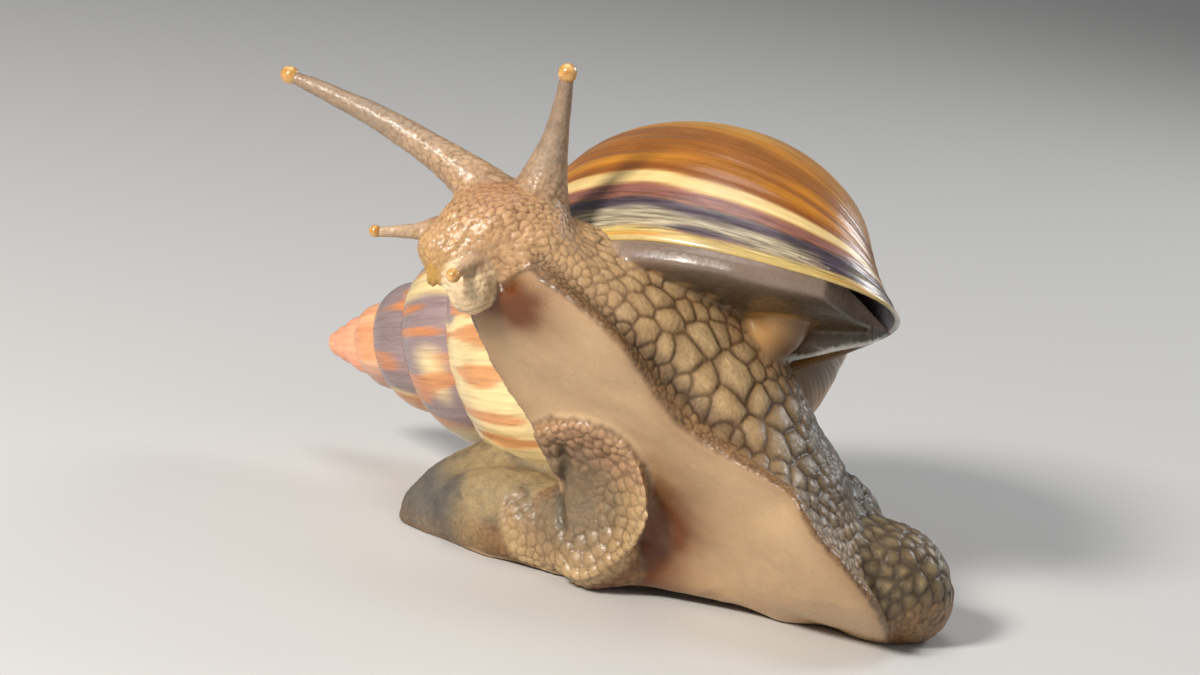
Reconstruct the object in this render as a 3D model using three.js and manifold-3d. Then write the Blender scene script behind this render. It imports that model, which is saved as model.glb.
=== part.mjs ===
// A giant african land snail at life size, reared up with its foot bent round and its shell over its tail.
// Millimetres, +Z up, the sole's flats at Z = 0. The snail's head is at -X and its raised sole faces -Y.
import * as THREE from "three";
import { mergeVertices } from "three/addons/utils/BufferGeometryUtils.js";
import Module from "manifold-3d";

const wasm = await Module();
wasm.setup();

const gap = 0.35; // between pieces that touch
const sliver = 0.05; // edges shorter than this are closed up after a cut
const { degToRad, lerp, smoothstep } = THREE.MathUtils;

// The foot and neck: stations along the middle of the sole, from the tail's tip to the chin. The columns
// are the sole's middle, the way the body's back faces, the sole's half widths left and right, the body's
// height over the sole and its half width, how far the right margin hangs and the margin's thickness.
const stations = [
  [-51, 15, 0, 0, 0, 1, 6, 6, 5, 5, 0, 1.4],
  [-45, 14, 0, 0, 0, 1, 12, 11, 12, 9, 0, 1.8],
  [-30, 12, 0, 0, 0, 1, 18, 17, 22, 13, 0, 2.4],
  [-10, 11, 0, 0, 0, 1, 20, 18, 28, 16, 0, 2.8],
  [10, 8, 0, 0, 0.1, 1, 21, 14, 29, 16.5, 0, 3],
  [23, -9, 0.3, 0.1, 0.45, 1, 19, 12, 27, 15.5, 0, 3],
  [22, -26, 5, 0.25, 0.7, 0.8, 22, 15, 24, 16, 0, 3],
  [9, -26, 16, 0.17, 0.68, 0.7, 25.5, 20, 31.5, 18.5, 5, 3],
  [-8, -27, 31, 0.2, 0.66, 0.72, 14, 20, 37, 18, 3, 2.8],
  [-24, -30, 44.5, 0.2, 0.66, 0.72, 17, 17.5, 32, 15, 1, 2.3],
  [-37, -33, 56.4, 0.15, 0.8, 0.56, 9.5, 9, 24, 11.5, 0, 1.8],
];
const column = { at: 0, back: 3, left: 6, right: 7, height: 8, body: 9, droop: 10, edge: 11 };
const outlineOf = {
  points: 24,
  sole: 0.36, // share of the outline that is sole
  flare: 0.085, // share over which the back runs out into the margin
  rim: 0.03, // share over which the margin reaches its thickness
  square: 0.75, // below 1, the body's sides stand steeper than a circle's
  peak: 1.25, // above 1, its back is narrower
  hangsFrom: 0.35, // share of the right half width where the margin starts to hang
};
const slicesAtStation = 3;
// Each length of the body as the stations that it runs between. The bend itself is the heel.
const lengths = {
  tail: [0, 1.8],
  foot_rear: [1.8, 3.6],
  foot_bend: [3.6, 5.4],
  foot_front: [6.45, 7.9],
  neck: [7.9, 10],
};

// The shell: a right-handed spiral about the line from apex to base. Its whorls are swept with an ellipse
// that grows by growth in one turn.
const shell = {
  apex: [-76, 58.3, 21.4],
  base: [41.4, -9.5, 56.9],
  growth: 1.5,
  whorls: 8,
  halfLength: 33, // of the last whorl's section, along the axis
  halfWidth: 25.5, // and across it
  reach: 18.3, // from the axis to the section's middle
  along: 91, // from the apex to the section's middle
  slant: 20,
  lip: 60, // where the lip stands, from straight up towards the viewer
  sweep: 4, // how much further the lip runs at the base
  sweepFrom: 0.72, // share of the height where it starts to
  pillar: [3.5, 1.5], // the columella's radius, high up and at the base
  tip: 0.6, // the smallest radius near the apex
  cuts: [0.004, 44, 77], // where the apex, the spire and the body whorl start, along the axis
  end: 1.003, // share of the height where the columella ends
};

// The mantle in the mouth of the shell: from just inside the lip it dips in, then lies on the wall of the
// whorl before. It narrows towards the base.
const mantle = {
  from: 0.57, // share of the shell's height
  to: 0.94,
  inset: 1.6,
  cover: 1,
  start: 2.2, // degrees past the lip
  wide: 66,
  narrow: 34,
  thin: 0.32, // least share of the lip's radius
  dip: 0.22, // share of the width over which it dips in
  rows: 7,
  across: 6,
};

// The head, what is on it, and the folds and lobes of the foot and mantle. A blob has its middle, the way
// its first half length points, the way its second does, and the three half lengths.
const blobs = {
  head: {
    at: [-38.9, -24, 66],
    along: [-0.95, -0.2, -0.12],
    across: [0, 0.1, 1],
    half: [13.6, 9.4, 9.7],
    detail: 16,
  },
  foldFill: { at: [-17, -17, 18], along: [0.1, -0.2, 1], across: [0.5, -0.8, 0], half: [14, 7, 9] },
  heel: { at: [27, -10, 12], along: [0.2, 0.2, 1], across: [0.8, 0.6, 0], half: [17, 17, 12] },
  bulge: { at: [41, -16, 10], along: [0.7, 0.3, -0.3], across: [0, 0, 1], half: [15.5, 12, 13] },
  mantleLobe: { at: [14.5, -13.5, 56.5], along: [0.25, 0, 1], across: [0, 1, 0], half: [8.5, 5, 6] },
  mouthRight: { at: [-49.4, -30.5, 57.6], along: [0, 0, 1], across: [0, 1, 0], half: [3.1, 2.2, 1.8] },
  mouthLeft: { at: [-42.6, -32.6, 57], along: [0.25, -0.1, -1], across: [1, 0, 0.25], half: [5.6, 4.4, 4.2] },
};
const knobs = {
  eye_right: { at: [-82.6, -5.4, 85.7], radius: 1.75 },
  eye_left: { at: [-31.2, -23.8, 96.6], radius: 1.75 },
  tip_lower_right: { at: [-61.4, -24.7, 62.7], radius: 1.15 },
  tip_lower_left: { at: [-45.4, -41, 60.1], radius: 1.3 },
};
// A limb has the points of its path and its radius at equal steps along the way.
const limbs = {
  tentacle_upper_right: {
    path: [[-40, -19.5, 69.5], [-48, -17.5, 75], [-62, -12.5, 80.5], [-72.5, -9, 83.4], [-82.3, -5.5, 85.6]],
    radii: [6.6, 4.7, 3.3, 2.6, 2.1, 1.7, 1.15],
  },
  tentacle_upper_left: {
    path: [[-33.5, -20, 66.5], [-32.6, -20.6, 76], [-31.5, -22, 85.5], [-31.2, -23.7, 96.2]],
    radii: [8, 6.3, 4.7, 3.3, 2.3, 1.7, 1.3],
  },
  tentacle_lower_right: {
    path: [[-50, -22, 64], [-55.5, -24, 63.5], [-61.2, -24.7, 62.6]],
    radii: [3.2, 1.7, 1.2, 0.95],
  },
  tentacle_lower_left: {
    path: [[-41.6, -31, 62.1], [-43.5, -36, 61], [-45.2, -40.5, 60.2]],
    radii: [2.2, 1.4, 1.1, 1],
  },
};
const foldRoll = {
  path: [[-25, -20, 30], [-17, -24, 30], [-9.5, -26, 22], [-9, -24, 13], [-14, -20, 6]],
  radii: [3.5, 5, 5.4, 5.4, 4.8],
  rows: 12,
  count: 10,
};

const paint = {
  skin: { color: 0xa58c64, roughness: 0.45 },
  sole: { color: 0xc4a073, roughness: 0.35 },
  head: { color: 0xbe915f, roughness: 0.4 },
  tentacle: { color: 0x96826e, roughness: 0.45 },
  eye: { color: 0xc8a05a, roughness: 0.15 },
  shell: { color: 0xc3821e, roughness: 0.25 },
  spire: { color: 0xe0b080, roughness: 0.35 },
  mantle: { color: 0x64554b, roughness: 0.3 },
};

const vector = (list) => new THREE.Vector3(...list);
const steps = (count, make) => Array.from({ length: count }, (_, i) => make(i));
const polar = (degrees, radius) => [radius * Math.cos(degToRad(degrees)), radius * Math.sin(degToRad(degrees))];

// A smooth value at place t in a list of numbers, with the slopes taken from its neighbours.
function smooth(values, t) {
  const last = values.length - 1;
  const i = Math.min(Math.max(Math.floor(t), 0), last - 1);
  const slope = (k) => (values[Math.min(k + 1, last)] - values[Math.max(k - 1, 0)]) / (k % last ? 2 : 1);
  const s = t - i;
  const s2 = s * s;
  const s3 = s2 * s;
  const [start, end] = [2 * s3 - 3 * s2 + 1, 3 * s2 - 2 * s3];
  return start * values[i] + (s3 - 2 * s2 + s) * slope(i) + end * values[i + 1] + (s3 - s2) * slope(i + 1);
}

const columnAt = (index, t) => smooth(stations.map((row) => row[index]), t);
const station = (key, t) => columnAt(column[key], t);
const place = (key, t) => vector([0, 1, 2].map((axis) => columnAt(column[key] + axis, t)));

// One section's outline as [to the left, up from the sole], grown outwards by extra: first the sole from
// the right margin to the left one, then a round body that flares down to each margin.
function outline(t, extra) {
  const [left, right] = [station("left", t) + extra, station("right", t) + extra];
  const [height, body] = [station("height", t) + extra, station("body", t) + extra];
  const [edge, droop] = [station("edge", t) + extra, station("droop", t)];
  const hung = (share) => droop * (Math.max(share - outlineOf.hangsFrom, 0) / (1 - outlineOf.hangsFrom)) ** 2;
  return steps(outlineOf.points, (i) => {
    const share = i / outlineOf.points;
    if (share <= outlineOf.sole) {
      const side = (2 * share) / outlineOf.sole - 1;
      return [side * (side < 0 ? right : left), -hung(-side) - extra];
    }
    const over = (share - outlineOf.sole) / (1 - outlineOf.sole);
    const [across, lift] = [Math.cos(over * Math.PI), Math.sin(over * Math.PI)];
    const rim = Math.min(over, 1 - over);
    const flare = Math.exp(-((rim / outlineOf.flare) ** 2));
    const round = Math.sign(across) * Math.abs(across) ** outlineOf.square * body;
    const side = lerp(round, across > 0 ? left : -right, flare);
    const margin = edge * (1 - Math.exp(-rim / outlineOf.rim));
    const rise = margin + (height - edge) * lift ** outlineOf.peak * (1 - flare);
    return [side, rise - hung(-side / right) - extra * Math.max(1 - over * 20, 0)];
  });
}

// The section at t in space. Nothing reaches below the floor.
function section(t, extra = 0) {
  const step = 0.001;
  const last = stations.length - 1;
  const middle = place("at", t);
  const ahead = place("at", Math.min(t + step, last)).sub(place("at", Math.max(t - step, 0))).normalize();
  const back = place("back", t);
  back.addScaledVector(ahead, -back.dot(ahead)).normalize();
  const left = back.clone().cross(ahead);
  const flat = outline(t, extra);
  const ring = flat.map(([side, rise]) => {
    const point = middle.clone().addScaledVector(left, side).addScaledVector(back, rise);
    point.z = Math.max(point.z, -extra);
    return point;
  });
  return { flat, ring };
}

// A closed solid of points and faces, turned the right way out.
function solid(points, faces) {
  const vertProperties = new Float32Array(points.flatMap((p) => [p.x, p.y, p.z]));
  const triVerts = new Uint32Array(faces);
  const made = new wasm.Manifold(new wasm.Mesh({ numProp: 3, vertProperties, triVerts }));
  if (made.volume() > 0) return made;
  return solid(points, faces.map((_, i) => faces[2 * (i - (i % 3)) + 2 - i]));
}

// A solid through sections of equal count, closed at both ends by the outline's own triangles.
function loft(sections) {
  const count = sections[0].ring.length;
  const faces = [];
  for (let row = 0; row < sections.length - 1; row++)
    for (let i = 0; i < count; i++) {
      const [a, b] = [row * count + i, row * count + ((i + 1) % count)];
      faces.push(a, b, b + count, a, b + count, a + count);
    }
  const end = (flat, start, turned) => {
    const contour = flat.map(([x, y]) => new THREE.Vector2(x, y));
    const clockwise = THREE.ShapeUtils.isClockWise(contour);
    for (const [a, b, c] of THREE.ShapeUtils.triangulateShape(contour, []))
      faces.push(...(turned === clockwise ? [a, b, c] : [a, c, b]).map((k) => k + start));
  };
  end(sections[0].flat, 0, true);
  end(sections.at(-1).flat, (sections.length - 1) * count, false);
  return solid(sections.flatMap((s) => s.ring), faces);
}

// A length of the body from one place along the sole to another.
function trunk([from, to], extra) {
  const slices = Math.round((to - from) * slicesAtStation);
  return loft(steps(slices + 1, (i) => section(lerp(from, to, i / slices), extra)));
}

function blob({ at, along, across, half, detail = 10 }, extra) {
  const geometry = new THREE.SphereGeometry(1, detail, Math.round(detail * 0.7));
  const first = vector(along).normalize();
  const second = vector(across).addScaledVector(first, -first.dot(vector(across))).normalize();
  const frame = new THREE.Matrix4().makeBasis(second, first, second.clone().cross(first));
  geometry.scale(half[1] + extra, half[0] + extra, half[2] + extra);
  geometry.applyMatrix4(frame.setPosition(...at));
  geometry.deleteAttribute("normal");
  geometry.deleteAttribute("uv");
  const { attributes, index } = mergeVertices(geometry, 1e-4);
  const corner = (i) => new THREE.Vector3().fromBufferAttribute(attributes.position, i);
  const points = steps(attributes.position.count, corner);
  for (const point of points) point.z = Math.max(point.z, -extra);
  return solid(points, Array.from(index.array));
}

const knob = ({ at, radius }, extra) =>
  blob({ at, along: [0, 0, 1], across: [0, 1, 0], half: [radius, radius, radius], detail: 10 }, extra);

// A round limb along its smooth path.
function limb({ path, radii, rows = 10, count = 9 }, extra) {
  const curve = new THREE.CatmullRomCurve3(path.map(vector));
  return loft(
    steps(rows + 1, (i) => {
      const [middle, ahead] = [curve.getPoint(i / rows), curve.getTangent(i / rows)];
      const side = vector([0.3, -1, 0.4]).cross(ahead).normalize();
      const up = ahead.clone().cross(side);
      const radius = smooth(radii, (i / rows) * (radii.length - 1)) + extra;
      const flat = steps(count, (k) => polar((k * 360) / count, radius));
      const ring = flat.map(([x, y]) => middle.clone().addScaledVector(side, x).addScaledVector(up, y));
      return { flat, ring };
    }),
  );
}

const axis = vector(shell.base).sub(vector(shell.apex));
const shellLength = axis.length();
axis.normalize();
const shellUp = vector([0, 0, 1]).addScaledVector(axis, -axis.z).normalize();
const shellSide = axis.clone().cross(shellUp);
const slant = degToRad(shell.slant);
const rise = Math.hypot(shell.halfLength * Math.cos(slant), shell.halfWidth * Math.sin(slant));
const tallest = shell.along + rise;

// How far round the lip stands at a height along the axis (0 at the apex, 1 at the base).
const lipAngle = (height) => shell.lip + shell.sweep * smoothstep(height, shell.sweepFrom, 1);

const pillarRadius = (height) => lerp(...shell.pillar, smoothstep(height, 0.6, 1));

// The shell's radius at a height along the axis and an angle in degrees, counted from just past the lip
// round to the lip itself: the furthest out of all the whorls that pass there. Each whorl's ellipse is cut
// at that height, which is a quadratic with the coefficients a, 2b and d.
function whorlRadius(height, angle) {
  const turn = (shell.lip + 360 - angle) / 360;
  const [c, s] = [Math.cos(slant), Math.sin(slant)];
  const [wide, long] = [shell.halfWidth ** -2, shell.halfLength ** -2];
  const a = c * c * wide + s * s * long;
  let radius = height < 0.5 ? shell.tip : pillarRadius(height);
  for (let whorl = 0; whorl < shell.whorls; whorl++) {
    const size = shell.growth ** -(whorl + turn);
    const above = (height * tallest) / size - shell.along;
    const b = above * c * s * (wide - long);
    const d = above * above * (s * s * wide + c * c * long) - 1;
    if (b * b > a * d) radius = Math.max(radius, size * (shell.reach + (Math.sqrt(b * b - a * d) - b) / a));
  }
  return radius;
}

// A point of the shell's frame in space.
function fromAxis(height, angle, radius) {
  const [up, side] = polar(angle, radius);
  return vector(shell.apex)
    .addScaledVector(axis, height * shellLength)
    .addScaledVector(shellUp, up)
    .addScaledVector(shellSide, side);
}

// A length of the shell's upper whorls, as rings about the axis; each ring steps in where the lip ends.
function spireLength([from, to], rows, count, extra) {
  return loft(
    steps(rows + 1, (row) => {
      const height = lerp(from, to, row / rows);
      const angles = steps(count, (i) => lipAngle(height) + 1 + (359 * i) / (count - 1) + 3 * extra);
      const radii = angles.map((angle) => whorlRadius(height, angle) + extra);
      return {
        flat: angles.map((angle, i) => polar(angle, radii[i])),
        ring: angles.map((angle, i) => fromAxis(height, angle, radii[i])),
      };
    }),
  );
}

// The body whorl: its rings bunch up towards the base, where the whorl turns in to the columella, and
// each of their points stops where the whorl ends. Past that only the columella goes on, for two rings.
function bodyWhorl([from, to], rows, count, extra) {
  const whorlRows = rows - 2;
  return loft(
    steps(rows + 1, (row) => {
      const share = Math.min(Math.sin((row / whorlRows) * (Math.PI / 2)), 1);
      const core = row > whorlRows;
      const flat = [];
      const ring = steps(count, (i) => {
        const turned = 1 + (359 * i) / (count - 1) + 3 * extra;
        const reached = row > whorlRows ? whorlEnd(turned) : lerp(from, whorlEnd(turned), share);
        const grown = reached + (1.5 * extra * row) / rows / shellLength;
        const height = row === rows ? to : grown;
        const angle = lipAngle(core ? to : reached) + turned;
        const radius = (core ? pillarRadius(height) : whorlRadius(reached, angle)) + extra;
        flat.push(polar(angle, radius));
        return fromAxis(height, angle, radius);
      });
      return { flat, ring };
    }),
  );
}
const whorlEnd = (turned) => 0.999 * shell.growth ** ((turned - 361) / 360);

function mantleSolid(extra) {
  return loft(
    steps(mantle.rows + 1, (row) => {
      const share = row / mantle.rows;
      const height = lerp(mantle.from, mantle.to, share) + ((share - 0.5) * extra) / 30;
      const start = lipAngle(height) + mantle.start;
      const span = lerp(mantle.wide, mantle.narrow, share ** 1.5);
      const lip = whorlRadius(height, lipAngle(height) + 360);
      const outer = [];
      const inner = [];
      for (let i = 0; i <= mantle.across; i++) {
        const across = lerp(-1.2 * extra, span + 1.2 * extra, i / mantle.across);
        const wall = whorlRadius(height, start + Math.max(across, 0)) + gap;
        const rest = Math.max(wall + mantle.cover, lip * mantle.thin);
        const blend = smoothstep((across - 3 * extra) / span, 0, mantle.dip);
        outer.push([start + across, Math.max(lerp(lip - mantle.inset, rest, blend), rest) + extra]);
        inner.unshift([start + across, wall - extra]);
      }
      const around = [...outer, ...inner];
      return {
        flat: around.map(([angle, radius]) => polar(angle, radius)),
        ring: around.map(([angle, radius]) => fromAxis(height, angle, radius)),
      };
    }),
  );
}

// Every piece as a function of how far it is grown, in the order in which later ones give way.
const [apexStart, spireStart, whorlStart] = shell.cuts.map((cut) => (cut < 1 ? cut : cut / shellLength));
const seam = gap / 2 / shellLength;
const pieces = [
  ["shell_body_whorl", (e) => bodyWhorl([whorlStart + seam, shell.end], 15, 42, e), paint.shell],
  ["shell_spire", (e) => spireLength([spireStart + seam, whorlStart - seam], 8, 28, e), paint.spire],
  ["shell_apex", (e) => spireLength([apexStart, spireStart - seam], 12, 20, e), paint.spire],
  ["mantle", mantleSolid, paint.mantle],
  ["tail", (e) => trunk(lengths.tail, e), paint.skin],
  ["foot_rear", (e) => trunk(lengths.foot_rear, e), paint.skin],
  ["foot_bend", (e) => trunk(lengths.foot_bend, e), paint.skin],
  ["foot_front", (e) => trunk(lengths.foot_front, e), paint.sole],
  ["neck", (e) => trunk(lengths.neck, e), paint.skin],
  ["head", (e) => blob(blobs.head, e), paint.head],
  ["foot_heel", (e) => blob(blobs.heel, e), paint.skin],
  ["foot_bulge", (e) => blob(blobs.bulge, e), paint.skin],
  ["foot_fold", (e) => limb(foldRoll, e).add(blob(blobs.foldFill, e)), paint.skin],
  ["mantle_lobe", (e) => blob(blobs.mantleLobe, e), paint.mantle],
  ["eye_left", (e) => knob(knobs.eye_left, e), paint.eye],
  ["eye_right", (e) => knob(knobs.eye_right, e), paint.eye],
  ["tentacle_upper_left", (e) => limb(limbs.tentacle_upper_left, e), paint.tentacle],
  ["tentacle_upper_right", (e) => limb(limbs.tentacle_upper_right, e), paint.tentacle],
  ["tip_lower_left", (e) => knob(knobs.tip_lower_left, e), paint.eye],
  ["tip_lower_right", (e) => knob(knobs.tip_lower_right, e), paint.eye],
  ["tentacle_lower_left", (e) => limb(limbs.tentacle_lower_left, e), paint.tentacle],
  ["tentacle_lower_right", (e) => limb(limbs.tentacle_lower_right, e), paint.tentacle],
  ["mouth_lobe_left", (e) => blob(blobs.mouthLeft, e), paint.head],
  ["mouth_lobe_right", (e) => blob(blobs.mouthRight, e), paint.head],
];

// The largest body left of a piece once the pieces before it are cut away.
function largest(piece) {
  const bodies = piece.simplify(sliver).decompose();
  return bodies.reduce((best, part) => (part.volume() > best.volume() ? part : best));
}

const group = new THREE.Group();
const taken = [];
for (const [name, make, look] of pieces) {
  const cut = taken.reduce((left, other) => left.subtract(other), make(0));
  const { vertProperties, triVerts } = largest(cut).getMesh();
  taken.push(make(gap).add(make(0)));
  const geometry = new THREE.BufferGeometry();
  geometry.setAttribute("position", new THREE.BufferAttribute(new Float32Array(vertProperties), 3));
  geometry.setIndex(Array.from(triVerts));
  geometry.computeVertexNormals();
  const mesh = new THREE.Mesh(geometry, new THREE.MeshStandardMaterial({ ...look, metalness: 0 }));
  mesh.name = name;
  group.add(mesh);
}

// The origin goes to the middle of the base of the box round the whole snail.
const box = new THREE.Box3().setFromObject(group);
const middle = box.getCenter(new THREE.Vector3());
group.position.set(-middle.x, -middle.y, -box.min.z);
group.updateMatrixWorld(true);

export default group;
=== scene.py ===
# A giant african land snail, reared up with its foot bent round and its shell over its tail.
# Lengths in the dictionaries are millimetres in the snail's own frame: the sole's flats are at Z = 0,
# the head is at -X and the raised sole faces -Y. Everything is made in metres.
import bpy
import math
import numpy as np
from mathutils import Matrix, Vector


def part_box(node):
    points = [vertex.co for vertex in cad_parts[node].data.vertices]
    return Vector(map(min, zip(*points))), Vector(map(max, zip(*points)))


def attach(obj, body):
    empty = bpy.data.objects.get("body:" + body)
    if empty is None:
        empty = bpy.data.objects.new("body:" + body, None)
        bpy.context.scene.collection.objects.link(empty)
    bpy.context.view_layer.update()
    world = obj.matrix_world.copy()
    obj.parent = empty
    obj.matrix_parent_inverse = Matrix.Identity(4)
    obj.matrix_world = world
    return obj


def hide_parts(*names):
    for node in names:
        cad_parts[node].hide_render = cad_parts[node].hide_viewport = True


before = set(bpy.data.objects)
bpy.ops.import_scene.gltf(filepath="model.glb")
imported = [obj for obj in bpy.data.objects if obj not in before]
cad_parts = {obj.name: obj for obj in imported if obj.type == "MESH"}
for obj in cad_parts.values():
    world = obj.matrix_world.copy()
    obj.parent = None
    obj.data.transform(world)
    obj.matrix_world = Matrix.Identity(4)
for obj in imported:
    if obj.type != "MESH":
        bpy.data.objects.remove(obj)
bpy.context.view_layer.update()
mm = 0.001
rng = np.random.default_rng(7)

# The snail's own frame sits on the CAD one shifted sideways: the left eye's middle tells by how much.
eyeLeftAt = np.array([-31.2, -23.8, 96.6])
shift = np.mean([np.array(corner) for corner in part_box("eye_left")], axis=0) - eyeLeftAt * mm


def vector(numbers):
    return np.array(numbers, float)


def lengths(vectors):
    return np.linalg.norm(vectors, axis=-1)


def unit(vectors):  # each vector divided by its length
    return vectors / np.maximum(lengths(vectors), 1e-9)[..., None]


def mixed(a, b, share):
    return a + (b - a) * share


def smoothstep(start, end, x):  # 0 before start, 1 past end, 3s^2 - 2s^3 between; end may be the lesser
    s = np.clip((x - start) / (end - start), 0, 1)
    return s * s * (3 - 2 * s)


def bump(x, width):  # a bell: e to the minus (x / width) squared
    return np.exp(-(x / width) ** 2)


# Values at whole steps read at place t: cubic pieces whose slopes come from the two neighbours.
def between(values, t):
    values = vector(values)
    last = len(values) - 1
    slopes = np.empty_like(values)
    slopes[1:-1] = (values[2:] - values[:-2]) / 2
    slopes[0], slopes[-1] = values[1] - values[0], values[-1] - values[-2]
    i = np.clip(np.floor(t).astype(int), 0, last - 1)
    s = (t - i).reshape(t.shape + (1,) * (values.ndim - 1))
    return (
        (2 * s**3 - 3 * s**2 + 1) * values[i] + (s**3 - 2 * s**2 + s) * slopes[i]
        + (3 * s**2 - 2 * s**3) * values[i + 1] + (s**3 - s**2) * slopes[i + 1]
    )


# A closed surface from a grid whose columns wrap round: quads, and a fan to the middle of each end ring.
def closedGrid(grid):
    rows, columns = grid.shape[:2]
    points = np.vstack([grid.reshape(-1, 3), grid[0].mean(0), grid[-1].mean(0)])
    index = np.arange(rows * columns).reshape(rows, columns)
    after = np.roll(index, -1, axis=1)
    quads = np.stack([index[:-1], after[:-1], after[1:], index[1:]], -1).reshape(-1, 4)
    start = np.stack([np.full(columns, rows * columns), after[0], index[0]], -1)
    end = np.stack([np.full(columns, rows * columns + 1), index[-1], after[-1]], -1)
    return points, quads, np.vstack([start, end])


def newMesh(name, points, quads, triangles):  # points in metres
    mesh = bpy.data.meshes.new(name)
    mesh.from_pydata(points.tolist(), [], quads.tolist() + triangles.tolist())
    mesh.shade_smooth()
    return mesh


def newObject(name, data):
    made = bpy.data.objects.new(name, data)
    bpy.context.scene.collection.objects.link(made)
    return made


def joined(surfaces):  # several closed grids as one list of points, quads and triangles
    counts = np.cumsum([0] + [len(surface[0]) for surface in surfaces])
    faces = [np.vstack([surface[k] + count for surface, count in zip(surfaces, counts)]) for k in (1, 2)]
    return np.vstack([surface[0] for surface in surfaces]), *faces


def readFrom(items, name, width, kind=np.float32):  # what Blender holds for each item, as one array
    values = np.empty(len(items) * width, kind)
    items.foreach_get(name, values)
    return values.reshape(-1, width)


def pointsOf(mesh):
    return readFrom(mesh.vertices, "co", 3).astype(float)


def edgesOf(mesh):
    return readFrom(mesh.edges, "vertices", 2, np.int32)


# The mean of each point's neighbours along the mesh's edges, for one value or several a point.
def neighbourMean(values, edges):
    flat = values.reshape(len(values), -1)
    both = np.concatenate([edges[:, 0], edges[:, 1]])
    other = np.concatenate([edges[:, 1], edges[:, 0]])
    count = np.maximum(np.bincount(both, minlength=len(flat)), 1)
    sums = [np.bincount(both, weights=flat[other, k], minlength=len(flat)) for k in range(flat.shape[1])]
    return (np.stack(sums, -1) / count[:, None]).reshape(values.shape)


def relaxed(values, edges, steps, back=0.0):  # evened out; back undoes the shrinking after each step
    for _ in range(steps):
        values = values + 0.6 * (neighbourMean(values, edges) - values)
        if back:
            values = values - back * (neighbourMean(values, edges) - values)
    return values


def evaluated(made):  # the mesh as its modifiers leave it
    graph = bpy.context.evaluated_depsgraph_get()
    return bpy.data.meshes.new_from_object(made.evaluated_get(graph))


def remeshed(name, points, quads, triangles, voxel):  # one even skin round everything, voxel in mm
    rough = newObject(name, newMesh(name, points * mm, quads, triangles))
    even = rough.modifiers.new("even", "REMESH")
    even.mode = "VOXEL"
    even.voxel_size = voxel * mm
    mesh = evaluated(rough)
    bpy.data.objects.remove(rough)
    return mesh


# The stations run along the middle of the sole from the tail's tip to the chin: x, y, z of the sole's
# middle; the way the back faces; half widths left and right; height; half width of the body; how far the
# right margin hangs; thickness of the margin.
body = {
    "stations": np.array([
        [-51, 15, 0, 0, 0, 1, 6, 6, 5, 5, 0, 1.4],
        [-45, 14, 0, 0, 0, 1, 12, 11, 12, 9, 0, 1.8],
        [-30, 12, 0, 0, 0, 1, 18, 17, 22, 13, 0, 2.4],
        [-10, 11, 0, 0, 0, 1, 20, 18, 28, 16, 0, 2.8],
        [10, 8, 0, 0, 0.1, 1, 21, 14, 29, 16.5, 0, 3],
        [23, -9, 0.3, 0.1, 0.45, 1, 19, 12, 27, 15.5, 0, 3],
        [22, -26, 5, 0.25, 0.7, 0.8, 22, 15, 24, 16, 0, 3],
        [9, -26, 16, 0.17, 0.68, 0.7, 25.5, 20, 31.5, 18.5, 5, 3],
        [-8, -27, 31, 0.2, 0.66, 0.72, 14, 20, 37, 18, 3, 2.8],
        [-24, -30, 44.5, 0.2, 0.66, 0.72, 17, 17.5, 32, 15, 1, 2.3],
        [-37, -33, 56.4, 0.15, 0.8, 0.56, 9.5, 9, 24, 11.5, 0, 1.8],
    ]),
    "soleShare": 0.36,  # of a section's points, on the flat sole
    "boxy": 0.75,  # 1 is a round back, less is squarer
    "arch": 1.25,  # how peaked the back is
    "flare": 0.085,  # share of the back that spreads to the margin
    "edgeSoft": 0.03,
    "hangFrom": 0.35,  # of the half width, where the margin starts to hang
    "rows": 240,
    "columns": 150,
    "coarse": 0.8,  # voxel that rounds the trunk's creases
    "fine": 0.42,  # voxel of the finished skin
    "triangles": 195000,  # most that the finished skin may have
}


# The trunk: at each place along the sole a section lies across it. From the right margin to the left one
# the section is the flat sole, then a round back that flares down to each margin's thin edge.
def trunkGrid(rows, columns):
    last = len(body["stations"]) - 1
    t = np.linspace(0, last, rows)
    at = between(body["stations"], t)
    middles = body["stations"][:, :3]
    ahead = unit(between(middles, np.minimum(t + 0.001, last)) - between(middles, np.maximum(t - 0.001, 0)))
    back = at[:, 3:6]
    back = unit(back - (back * ahead).sum(-1, keepdims=True) * ahead)
    leftward = np.cross(back, ahead)
    left, right, height, wide, droop, edge = (at[:, k, None] for k in range(6, 12))
    share = np.arange(columns)[None] / columns
    sole = share <= body["soleShare"]
    soleSide = 2 * share / body["soleShare"] - 1
    over = np.clip((share - body["soleShare"]) / (1 - body["soleShare"]), 0, 1)
    across, lift = np.cos(over * np.pi), np.maximum(np.sin(over * np.pi), 0)
    rim = np.minimum(over, 1 - over)
    flare = bump(rim, body["flare"])
    rounded = np.sign(across) * np.abs(across) ** body["boxy"] * wide
    backSide = mixed(rounded, np.where(across > 0, left, -right), flare)
    rise = edge * (1 - np.exp(-rim / body["edgeSoft"])) + (height - edge) * lift ** body["arch"] * (1 - flare)
    side = np.where(sole, soleSide * np.where(soleSide < 0, right, left), backSide)
    hanging = np.clip(-side / right - body["hangFrom"], 0, None) / (1 - body["hangFrom"])
    up = np.where(sole, 0, rise) - droop * np.where(side < 0, hanging, 0) ** 2
    grid = at[:, None, :3] + leftward[:, None] * side[..., None] + back[:, None] * up[..., None]
    grid[..., 2] = np.maximum(grid[..., 2], 0)
    return t, grid


def threeWays(along, across):  # ways at right angles: along, as near to across as can be, and the third
    first = unit(vector(along))
    second = unit(vector(across) - first * (first @ vector(across)))
    return first, second, np.cross(first, second)


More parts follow.
